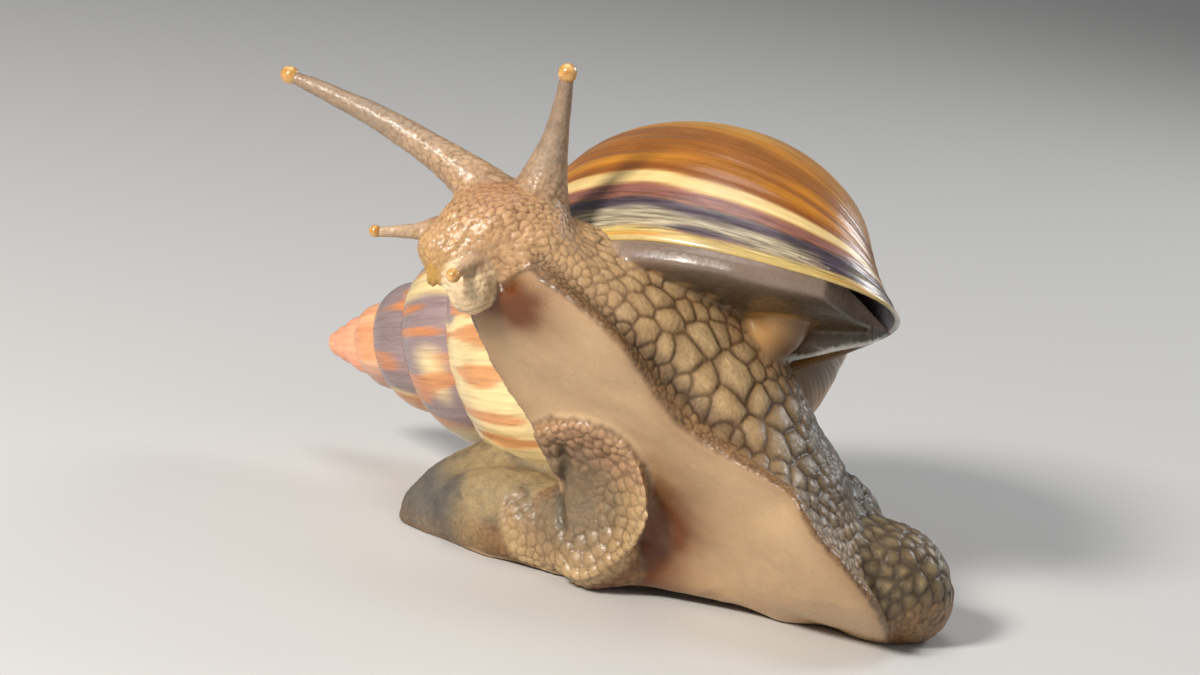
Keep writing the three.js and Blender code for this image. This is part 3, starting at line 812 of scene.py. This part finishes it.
def colourSkin():
    cloudy = noise(flesh, 11, 21)
    tints = {name: tint(*screen) for name, screen in skinTints.items()}
    # the bulge's dark skin with paler cells, partly painted shade
    rumpAndShade = painted(tints["rumpAndShade"], tints["rumpPale"], smoothstep(0.3, 0.9, gap) * (0.35 + 0.6 * cellTone))
    streakAt = np.stack([0.35 * fleshX - 0.2 * fleshZ, 0.5 * fleshY, fleshZ + 0.5 * fleshX], -1)
    flankPaint = layered(tints["flank"], tints, [
        ("flankDark", smoothstep(0.0, 0.7, noise(streakAt, 2.4, 31)) * 0.6 + groove * 0.3),
        # the tail's end greyed: a painted shadow
        ("tailEndShadow", smoothstep(-38, -45, fleshX + 3 * cloudy) * 0.85),
    ])
    # the ear: paler towards the rim, partly a painted highlight; darker in its middle, a painted shade in its
    # hollow
    earPaintAndShade = layered(tints["ear"], tints, [
        ("cellPale", smoothstep(0.75, 0.98, earOut) * 0.8),
        ("earTop", smoothstep(3, 9, fromEar[:, 2]) * 0.7),
        ("flankDark", smoothstep(0.85, 0.45, earOut) * 0.65),
    ])
    # painted shade in the hollow between the ear and the flank
    hollow = smoothstep(0.8, 0.6, earOut) * smoothstep(-9, -13, fleshY) * notSole * notEar
    paintedHollowShade = painted(earPaintAndShade, tints["flankDark"], 0.3 + 0.35 * cloudy + groove * 0.5)
    # painted shade on the sole just past the ear's edge, low down
    shadeBeyondEar = smoothstep(1.0, 1.1, earOut) * smoothstep(-16, -12, fleshX) * smoothstep(4, 0, fleshX)
    low = smoothstep(7.9, 6.9, place) * raised * smoothstep(3, 8, margin)
    fringePaint = painted(tints["fringe"], tints["fringeGroove"], groove * 0.75 + 0.2 * cellTone)
    fringeMask = smoothstep(5.0, 2.0, margin) * notSole * notEar * mixed(1, 0.3, smoothstep(-30, -40, fleshX))
    outsideFringe = bump(margin - 3.4, 2.2) * smoothstep(7.6, 9, place) * raised * notSole
    facePaint = layered(tints["face"], tints, [
        ("faceGroove", groove * 0.85 + 0.15 * cellTone),
        ("crack", groove * smoothstep(67, 72, fleshZ) * 0.7),
        ("brow", spot("brow") * 0.75),
    ])
    hornPaint = layered(painted(tints["horn"], tints["hornEnd"], hornPlace), tints, [
        (facePaint, smoothstep(0.6, 0.2, hornPlace) * 0.7),
        ("faceGroove", groove * (0.5 - 0.4 * hornPlace)),
        (painted(tints["feelerBase"], tints["feeler"], smoothstep(0, 0.5, hornPlace)), feeler),
    ])
    soleShare = smoothstep(-5, -0.5, margin) * 0.7 + 0.3 * cloudy + 0.2 * noise(flesh, 25, 23)
    # painted shadows on the sole, under the mouth and beside the ear
    deep = np.maximum(1.5 * spot("shadowUnderMouth"), 1.3 * spot("shadowBesideEar"))
    soleLine = relaxed(sole, edges, 2)
    soleLine = 4 * soleLine * (1 - soleLine) * notHorn
    callus = smoothstep(5.5, 3.5, mantleEnd + 1.2 * noise(flesh, 5, 22)) * smoothstep(0.45, 0.6, down)
    cloakPaint = layered(tints["cloak"], tints, [
        # the collar paler than the mantle, partly painted light on its rounded roll
        ("collar", smoothstep(10, 6, pastLip) * (0.75 + 0.4 * cloudy)),
        ("cloakWarm", bump(heightIn - 0.86, 0.05) * smoothstep(8, 14, pastLip) * 0.5),
        ("callus", callus),
    ])
    # the mantle's lobe darker towards its right and bottom: painted shade
    lobeWithShade = painted(tints["lobe"], tints["halo"], smoothstep(15, 21, fleshX + 0.6 * (60 - fleshZ)))
    return layered(tints["cellDeep"], tints, [
        ("cellPale", 0.45 + 0.5 * cellTone + 0.25 * cloudy),
        ("nape", smoothstep(16, 29, margin) * 0.8),
        ("halo", smoothstep(0.6, 0.05, gap) * 0.6),
        ("groove", groove * (0.9 - 0.4 * rear)),
        (rumpAndShade, bulge * notSole * 0.85),
        (flankPaint, rear),
        (painted(earPaintAndShade, tints["fringeGroove"], groove * 0.7), ear),
        # painted shade on the sole past the ear
        ("soleShadow", shadeBeyondEar * smoothstep(13, 9, fleshZ) * 0.8),
        # the lower flank at the bend darker, partly painted shade
        ("rumpAndShade", low * (0.45 + 0.35 * smoothstep(8, 16, margin))),
        ("crack", furrow * (0.6 + 0.4 * groove)),
        ("face", smoothstep(8.4, 10, place) * raised * (1 - groove) * 0.7),
        (fringePaint, fringeMask),
        ("fringeGroove", outsideFringe * (0.3 + 0.5 * groove)),
        # painted shade in the hollow behind the ear
        (paintedHollowShade, hollow),
        # painted shade in the crease beside the ear
        ("rumpAndShade", creased * 0.8),
        (facePaint, face),
        ("amber", spot("mouth") * face * 0.45),
        (painted(tints["lips"], tints["lipsGroove"], ringed * 0.7), lobeLeft),
        (hornPaint, horn),
        ("amber", onBlob(head["lobeRight"], 1.35, 1.02)),
        (painted(tints["sole"], tints["soleEdge"], soleShare), sole),
        # painted shadows on the sole under the mouth and beside the ear
        ("soleShadow", sole * deep * (0.88 + 0.25 * noise(flesh, 3, 24))),
        ("crack", soleLine * mixed(0.45, 0.75, smoothstep(9, 10, place))),
        (cloakPaint, cloak * (1 - lobe)),
        (lobeWithShade, lobe),
    ])


def pointAttribute(mesh, name, values):  # one number or one colour for each point
    if values.ndim == 1:
        made = mesh.attributes.new(name, "FLOAT", "POINT")
        made.data.foreach_set("value", values.astype(np.float32))
    else:
        made = mesh.attributes.new(name, "FLOAT_COLOR", "POINT")
        rgba = np.concatenate([values, np.ones((len(values), 1))], 1)
        made.data.foreach_set("color", rgba.astype(np.float32).ravel())


dry = 0.5 + 0.22 * rear * notEar - 0.14 * sole - 0.2 * cloak - 0.1 * horn
dry = dry - 0.08 * smoothstep(5, 2, margin) * notSole - 0.05 * face
pointAttribute(fine, "skinTint", np.clip(colourSkin(), 0, 1))
pointAttribute(fine, "skinSmooth", np.clip(sole + cloak + lobe, 0, 1))
pointAttribute(fine, "skinDry", np.clip(dry, 0.2, 0.8))
fine.update()
skin = newObject("snailSkin", fine)
triangleCount = len(fine.polygons) * 2
print("stage: triangles before thinning", triangleCount)
if triangleCount > body["triangles"]:
    thinner = skin.modifiers.new("thinner", "DECIMATE")
    thinner.ratio = body["triangles"] / triangleCount
    lighter = evaluated(skin)
    skin.modifiers.clear()
    skin.data = lighter
    lighter.shade_smooth()
print("stage: skin done", len(skin.data.polygons))


# The shell's outside runs from the apex to the lip, turns over the lip's rounded edge and goes back
# inside. Growth ribs are sine waves of the turn, and the sharp rests between are a sine to the ninth power.
def shellGrid():
    turnsEven = np.linspace(0, shell["turns"], 4000)
    outerLength = 1 - shell["growth"] ** -turnsEven
    turn = np.interp(np.linspace(0, outerLength[-1], shell["rows"]), outerLength, turnsEven)[::-1]
    share = np.linspace(0, 1, shell["columns"], endpoint=False)
    around = np.pi * (2 * share - 1)
    around = around - 0.45 * np.sin(around)  # columns bunch on the outer side, the join is on the inner one
    outside = spiral(turn[:, None], around[None])
    size = shell["growth"] ** -turn[:, None]
    ribs = shell["ribHigh"] * np.sin(turn * 2 * np.pi * shell["ribs"] + 3 * np.sin(turn * 17))
    ribs = ribs + shell["ribHigh"] * np.sin(turn * 2 * np.pi * shell["fineRibs"])
    rest = shell["restHigh"] * np.sin(turn * 2 * np.pi * shell["rests"] + 2.0 * np.sin(turn * 5)) ** 9
    middle = outside.mean(1, keepdims=True)
    outside = outside + unit(outside - middle) * ((ribs + rest)[:, None] * np.sqrt(size))[..., None]
    half = shell["wall"] / 2
    lip = [
        spiral(np.full((1, 1), -0.0028 * math.sin(a)), around[None], half * (1 - math.cos(a)))
        for a in np.linspace(0, np.pi, 7)[1:-1]
    ]
    back = np.linspace(0, shell["inside"], 120)[:, None]
    inner = spiral(back, around[None], shell["wall"])
    grid = np.concatenate([outside] + lip + [inner])
    return grid, np.concatenate([turn, np.zeros(len(lip)), -back[:, 0]]), around


shellPoints, shellTurn, shellAround = shellGrid()
points, quads, triangles = closedGrid(shellPoints)
shellMesh = newMesh("snailShell", points * mm + shift, quads[:, ::-1], triangles[:, ::-1])
turnOf = np.concatenate([np.repeat(shellTurn, shell["columns"]), [shellTurn[0], shellTurn[-1]]])
aroundOf = np.concatenate([np.tile(shellAround, len(shellTurn)), [0, 0]])
inside = (turnOf < -1e-6).astype(float)  # 1 on the inner wall
turnsBack = np.abs(turnOf)
growthOf = shell["growth"] ** -turnsBack
lipRadius, lipWidth = 39.0, 30  # from the axis, and for one radian round the section
behind = 2 * np.pi * lipRadius * (1 - growthOf) / math.log(shell["growth"])  # mm behind the lip
acrossOf = aroundOf * lipWidth * growthOf  # mm across the whorl
shellTints = {
    "amber": (192, 124, 22),
    # deep amber of the streaks, also the colour of a painted shadow band
    "amberDeepAndShadow": (132, 72, 18),
    "gold": (222, 168, 66),
    "pale": (220, 190, 128),
    "slate": (76, 64, 74),
    "streak": (168, 154, 128),
    "rose": (138, 88, 76),
    "rim": (190, 172, 112),
    "callus": (206, 204, 202),
    # dark olive of the base, partly painted shade
    "oliveAndShade": (84, 62, 28),
    "cream": (232, 206, 150),
    "plum": (130, 110, 120),
    "rust": (206, 130, 74),
    "apex": (236, 160, 124),
    "inner": (150, 150, 160),
}


def bandAt(x, low, high, soft=0.4):
    return smoothstep(low - soft, low + soft, x) * (1 - smoothstep(high - soft, high + soft, x))


# Growth bands in mm behind the lip, wandering a little, the farthest a painted shadow; streaks stretched
# across the whorl; blotches on the older whorls, and a darker base, partly painted shade.
def colourShell():
    tints = {name: tint(*screen) for name, screen in shellTints.items()}
    level = 0 * behind
    streaky = np.stack([behind, acrossOf * 0.12, level], -1)
    slow = noise(streaky, 9, 41)
    fast = noise(streaky, 2.2, 42)
    patch = noise(np.stack([behind * 0.5, acrossOf, level], -1), 8, 43)
    wander = behind + 0.5 * noise(np.stack([acrossOf, level, level], -1), 9, 44)
    older = smoothstep(0.75, 1.15, turnsBack + 0.3 * smoothstep(0.2, -0.5, aroundOf))
    spire = layered(tints["cream"], tints, [
        ("plum", smoothstep(0.0, 0.35, slow + 0.7 * patch) * 0.9),
        ("rust", smoothstep(0.2, 0.5, fast - 0.5 * patch) * 0.8),
        ("apex", smoothstep(3.2, 4.6, turnsBack)),
    ])
    starts = mixed(1.25, 0.5, smoothstep(0.05, 0.5, turnsBack))  # the whorl's lower end, darker
    # the base darker, partly painted shade
    base = smoothstep(starts, starts + 0.6, aroundOf + 0.15 * fast) * smoothstep(0.95, 0.75, turnsBack)
    return layered(tints["amber"], tints, [
        ("gold", smoothstep(0.0, 0.8, slow + 0.6 * fast) * 0.7),
        ("amberDeepAndShadow", smoothstep(0.15, 0.7, -slow - 0.5 * fast) * 0.75),
        # painted shadow: a dark band beyond the pale one
        ("amberDeepAndShadow", bandAt(wander, 13.6, 15.4, 0.8) * 0.8),
        ("pale", bandAt(wander, 10.6, 13.6)),
        ("rose", bandAt(wander, 7.6, 10.6, 0.7)),
        ("slate", bandAt(wander, 1.8, 7.6, 0.6)),
        ("streak", bandAt(wander, 1.6, 5.2, 0.8) * smoothstep(-0.1, 0.4, fast + patch * 0.6)),
        ("rim", bandAt(wander, 0.5, 1.7, 0.25) * 0.8),
        (spire, older),
        # the darker base, partly painted shade
        ("oliveAndShade", base * (0.8 + 0.3 * slow)),
        ("rim", smoothstep(0.7, 0.1, behind) * 0.8),
        ("callus", smoothstep(1.0, 0.5, behind) * smoothstep(1.2, 1.5, aroundOf)),
        ("inner", inside),
    ])


pointAttribute(shellMesh, "shellTint", np.clip(colourShell(), 0, 1))
pointAttribute(shellMesh, "streaked", bandAt(behind, 0.8, 9.5, 1.2) * (1 - inside))
pointAttribute(shellMesh, "behindLip", behind)
pointAttribute(shellMesh, "acrossWhorl", acrossOf)
shellPiece = newObject("snailShell", shellMesh)
print("stage: shell done", len(shellMesh.polygons))


# The eyes and the feelers' tips: round knobs, a little longer than wide, on the tentacles' ends.
eyes = {
    "eyeRight": ((-82.6, -5.4, 85.7), (-1, 0.35, 0.2), (0, 1, 0), (1.85, 1.75, 1.75)),
    "eyeLeft": ((-31.2, -23.8, 96.6), (0, -0.1, 1), (0, 1, 0), (1.85, 1.75, 1.75)),
    "feelerRight": ((-61.4, -24.7, 62.7), (-1, 0, 0), (0, 1, 0), (1.2, 1.15, 1.15)),
    "feelerLeft": ((-45.4, -41, 60.1), (-0.2, -1, 0), (0, 0, 1), (1.35, 1.3, 1.3)),
}
eyeNodes = {
    "eyeRight": "eye_right", "eyeLeft": "eye_left",
    "feelerRight": "tip_lower_right", "feelerLeft": "tip_lower_left",
}
eyePieces = {}
for name, form in eyes.items():
    points, quads, triangles = closedGrid(blobGrid(*form, rows=40, columns=56))
    eyePieces[name] = newObject(name, newMesh(name, points * mm + shift, quads, triangles))
print("stage: knobs done", len(eyePieces))


def newMaterial(name, settings):  # settings are the same all over the surface
    made = bpy.data.materials.new(name)
    made.use_nodes = True
    tree = made.node_tree
    tree.nodes.clear()
    out = tree.nodes.new("ShaderNodeOutputMaterial")
    shader = filled(tree, tree.nodes.new("ShaderNodeBsdfPrincipled"), settings)
    tree.links.new(shader.outputs[0], out.inputs[0])
    return made, tree, shader


def filled(tree, node, values):  # each socket set to a number or linked to another node's output
    for socket, value in values.items():
        if isinstance(value, bpy.types.NodeSocket):
            tree.links.new(value, node.inputs[socket])
        else:
            node.inputs[socket].default_value = value
    return node


def node(tree, kind, values, output=0, **options):  # a new node's output; options are its own settings
    made = tree.nodes.new("ShaderNode" + kind)
    for option, value in options.items():
        setattr(made, option, value)
    return filled(tree, made, values).outputs[output]


def noiseNode(tree, where, scale, detail=4, rough=0.55):
    values = {"Vector": where, "Scale": scale, "Detail": detail, "Roughness": rough}
    return node(tree, "TexNoise", values, "Fac")


def ranged(tree, value, low, high):  # the noise's usual 0.3 to 0.7 spread from low to high
    values = {"Value": value, "From Min": 0.3, "From Max": 0.7, "To Min": low, "To Max": high}
    return node(tree, "MapRange", values, "Result")


def computed(tree, operation, a, b):
    return node(tree, "Math", {0: a, 1: b}, operation=operation)


def shaded(tree, colour, factor):  # a colour made lighter or darker by a factor
    return node(tree, "VectorMath", {0: colour, "Scale": factor}, operation="SCALE")


def attribute(tree, name, output="Fac"):
    return node(tree, "Attribute", {}, output, attribute_name=name)


def objectPlace(tree):
    return node(tree, "TexCoord", {}, "Object")


def dented(tree, height, strength, deep):
    return node(tree, "Bump", {"Height": height, "Strength": strength, "Distance": deep})


def wetSkin():
    made, tree, shader = newMaterial("wetSkin", {
        "Subsurface Weight": 0.22, "Subsurface Radius": (1.0, 0.42, 0.2), "Subsurface Scale": 0.0016,
        "Coat Weight": 0.08, "Coat Roughness": 0.14, "Specular IOR Level": 0.5,
    })
    where = objectPlace(tree)
    smooth = attribute(tree, "skinSmooth")
    mottle = ranged(tree, noiseNode(tree, where, 420, 5), -0.17, 0.17)
    speck = ranged(tree, noiseNode(tree, where, 1700, 3), -0.1, 0.1)
    share = computed(tree, "SUBTRACT", 1.0, computed(tree, "MULTIPLY", smooth, 0.78))
    uneven = computed(tree, "MULTIPLY", computed(tree, "ADD", mottle, speck), share)
    grain = {"Vector": where, "Scale": 1150, "Smoothness": 0.5}
    grain = node(tree, "TexVoronoi", grain, "Distance", feature="SMOOTH_F1")
    folds = computed(tree, "MULTIPLY", noiseNode(tree, where, 700, 6, 0.6), 0.8)
    amount = computed(tree, "SUBTRACT", 1.0, computed(tree, "MULTIPLY", smooth, 0.82))
    height = computed(tree, "MULTIPLY", computed(tree, "SUBTRACT", folds, grain), amount)
    wetter = ranged(tree, noiseNode(tree, where, 900, 3), -0.13, 0.13)
    colour = shaded(tree, attribute(tree, "skinTint", "Color"), computed(tree, "ADD", 1.0, uneven))
    filled(tree, shader, {
        "Base Color": colour,
        "Roughness": computed(tree, "ADD", wetter, attribute(tree, "skinDry")),
        "Normal": dented(tree, height, 0.55, 0.00022),
    })
    return made


def glossyShell():
    made, tree, shader = newMaterial("glossyShell", {
        "Coat Weight": 0.35, "Coat Roughness": 0.14, "Subsurface Weight": 0.06, "Subsurface Scale": 0.002,
    })
    across = computed(tree, "MULTIPLY", attribute(tree, "acrossWhorl"), 0.07)  # draws the streaks out
    whorl = node(tree, "CombineXYZ", {0: attribute(tree, "behindLip"), 1: across})
    streak = noiseNode(tree, whorl, 1.1, 5, 0.65)
    fineStreak = noiseNode(tree, whorl, 3.4, 3, 0.6)
    cloud = noiseNode(tree, objectPlace(tree), 90, 4)
    line = ranged(tree, noiseNode(tree, whorl, 2.1, 4, 0.6), -0.75, 0.45)
    lines = computed(tree, "ADD", computed(tree, "MULTIPLY", line, attribute(tree, "streaked")), 1.0)
    factor = ranged(tree, streak, 0.82, 1.2)
    for more in (ranged(tree, fineStreak, 0.9, 1.1), ranged(tree, cloud, 0.88, 1.1), lines):
        factor = computed(tree, "MULTIPLY", factor, more)
    height = computed(tree, "ADD", streak, computed(tree, "MULTIPLY", fineStreak, 0.4))
    filled(tree, shader, {
        "Base Color": shaded(tree, attribute(tree, "shellTint", "Color"), factor),
        "Roughness": ranged(tree, streak, 0.2, 0.42),
        "Normal": dented(tree, height, 0.4, 0.00025),
    })
    return made


def amberKnob():
    made, tree, shader = newMaterial("amberKnob", {
        "Subsurface Weight": 0.45, "Subsurface Radius": (1.0, 0.5, 0.2), "Subsurface Scale": 0.0015,
        "Coat Weight": 0.7, "Coat Roughness": 0.05,
    })
    where = objectPlace(tree)
    cloud = noiseNode(tree, where, 700, 3)
    ramp = filled(tree, tree.nodes.new("ShaderNodeValToRGB"), {0: cloud})
    stops = ((0.3, tint(170, 118, 52)), (0.7, tint(220, 178, 112)))
    for stop, (position, colour) in zip(ramp.color_ramp.elements, stops):
        stop.position, stop.color = position, (*colour, 1)
    filled(tree, shader, {
        "Base Color": ramp.outputs[0],
        "Roughness": ranged(tree, cloud, 0.12, 0.3),
        "Normal": dented(tree, noiseNode(tree, where, 1500, 3), 0.15, 0.0001),
    })
    return made


def paleFloor():
    return newMaterial("paleFloor", {"Base Color": (0.64, 0.632, 0.62, 1), "Roughness": 0.6})[0]


skin.data.materials.clear()
skin.data.materials.append(wetSkin())
shellMesh.materials.append(glossyShell())
knob = amberKnob()
for piece in eyePieces.values():
    piece.data.materials.append(knob)

fleshNodes = [
    "tail", "foot_rear", "foot_bend", "foot_front", "neck", "head", "foot_heel", "foot_bulge", "foot_fold",
    "tentacle_upper_left", "tentacle_upper_right", "tentacle_lower_left", "tentacle_lower_right",
    "mouth_lobe_left", "mouth_lobe_right", "mantle", "mantle_lobe",
]
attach(skin, "root")
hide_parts(*fleshNodes)
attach(shellPiece, "root")
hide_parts("shell_body_whorl", "shell_spire", "shell_apex")
for name, node in eyeNodes.items():
    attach(eyePieces[name], "root")
    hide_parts(node)

print("stage: floor, light and camera")
floorPoints = np.array([[-6, -6, 0], [6, -6, 0], [6, 6, 0], [-6, 6, 0]], float)
floor = newObject("floor", newMesh("floor", floorPoints, np.array([[0, 1, 2, 3]]), np.zeros((0, 3), int)))
floor.data.materials.append(paleFloor())


def placed(name, data, side, up, back, at):  # an object whose own X, Y and Z point along side, up and back
    made = newObject(name, data)
    turned = np.eye(4)
    turned[:3] = np.stack([side, up, back, at], -1)
    made.matrix_world = Matrix(turned.tolist())
    return made


lamps = {  # where, aimed at the snail's middle; width in metres; watts; colour
    "key": ((-0.55, -0.7, 0.62), 0.2, 13.5, (1.0, 0.96, 0.9)),
    "fill": ((0.75, -0.9, 0.35), 0.9, 1.5, (0.95, 0.97, 1.0)),
    "rim": ((0.7, 0.6, 0.5), 0.3, 3, (0.95, 0.98, 1.0)),
    "top": ((-0.1, 0.1, 1.0), 0.5, 2.2, (1.0, 1.0, 1.0)),
}
aim = np.array([-0.01, 0.0, 0.05])
for name, (at, width, power, colour) in lamps.items():
    light = bpy.data.lights.new(name, "AREA")
    light.energy, light.size, light.color = power, width, colour
    away = unit(vector(at) - aim)
    side = unit(np.cross(np.array([0, 0, 1.0]), away))
    placed(name, light, side, np.cross(away, side), away, at)
world = bpy.data.worlds.new("studio")
bpy.context.scene.world = world
world.use_nodes = True
background = world.node_tree.nodes["Background"]
background.inputs[0].default_value = (0.86, 0.88, 0.9, 1)
background.inputs[1].default_value = 0.2
bpy.context.scene.view_settings.view_transform = "Standard"

view = {
    "eye": (-18.0, -614.2, 175.0),
    "right": (0.98769, 0.03252, 0.15302),
    "up": (-0.15643, 0.20535, 0.96611),
    "lens": 99,
}
cameraData = bpy.data.cameras.new("camera")
cameraData.lens, cameraData.sensor_width = view["lens"], 36
cameraData.clip_start, cameraData.clip_end = 0.01, 50
back = np.cross(view["right"], view["up"])
camera = placed("camera", cameraData, view["right"], view["up"], back, np.array(view["eye"]) * mm + shift)
bpy.context.scene.camera = camera
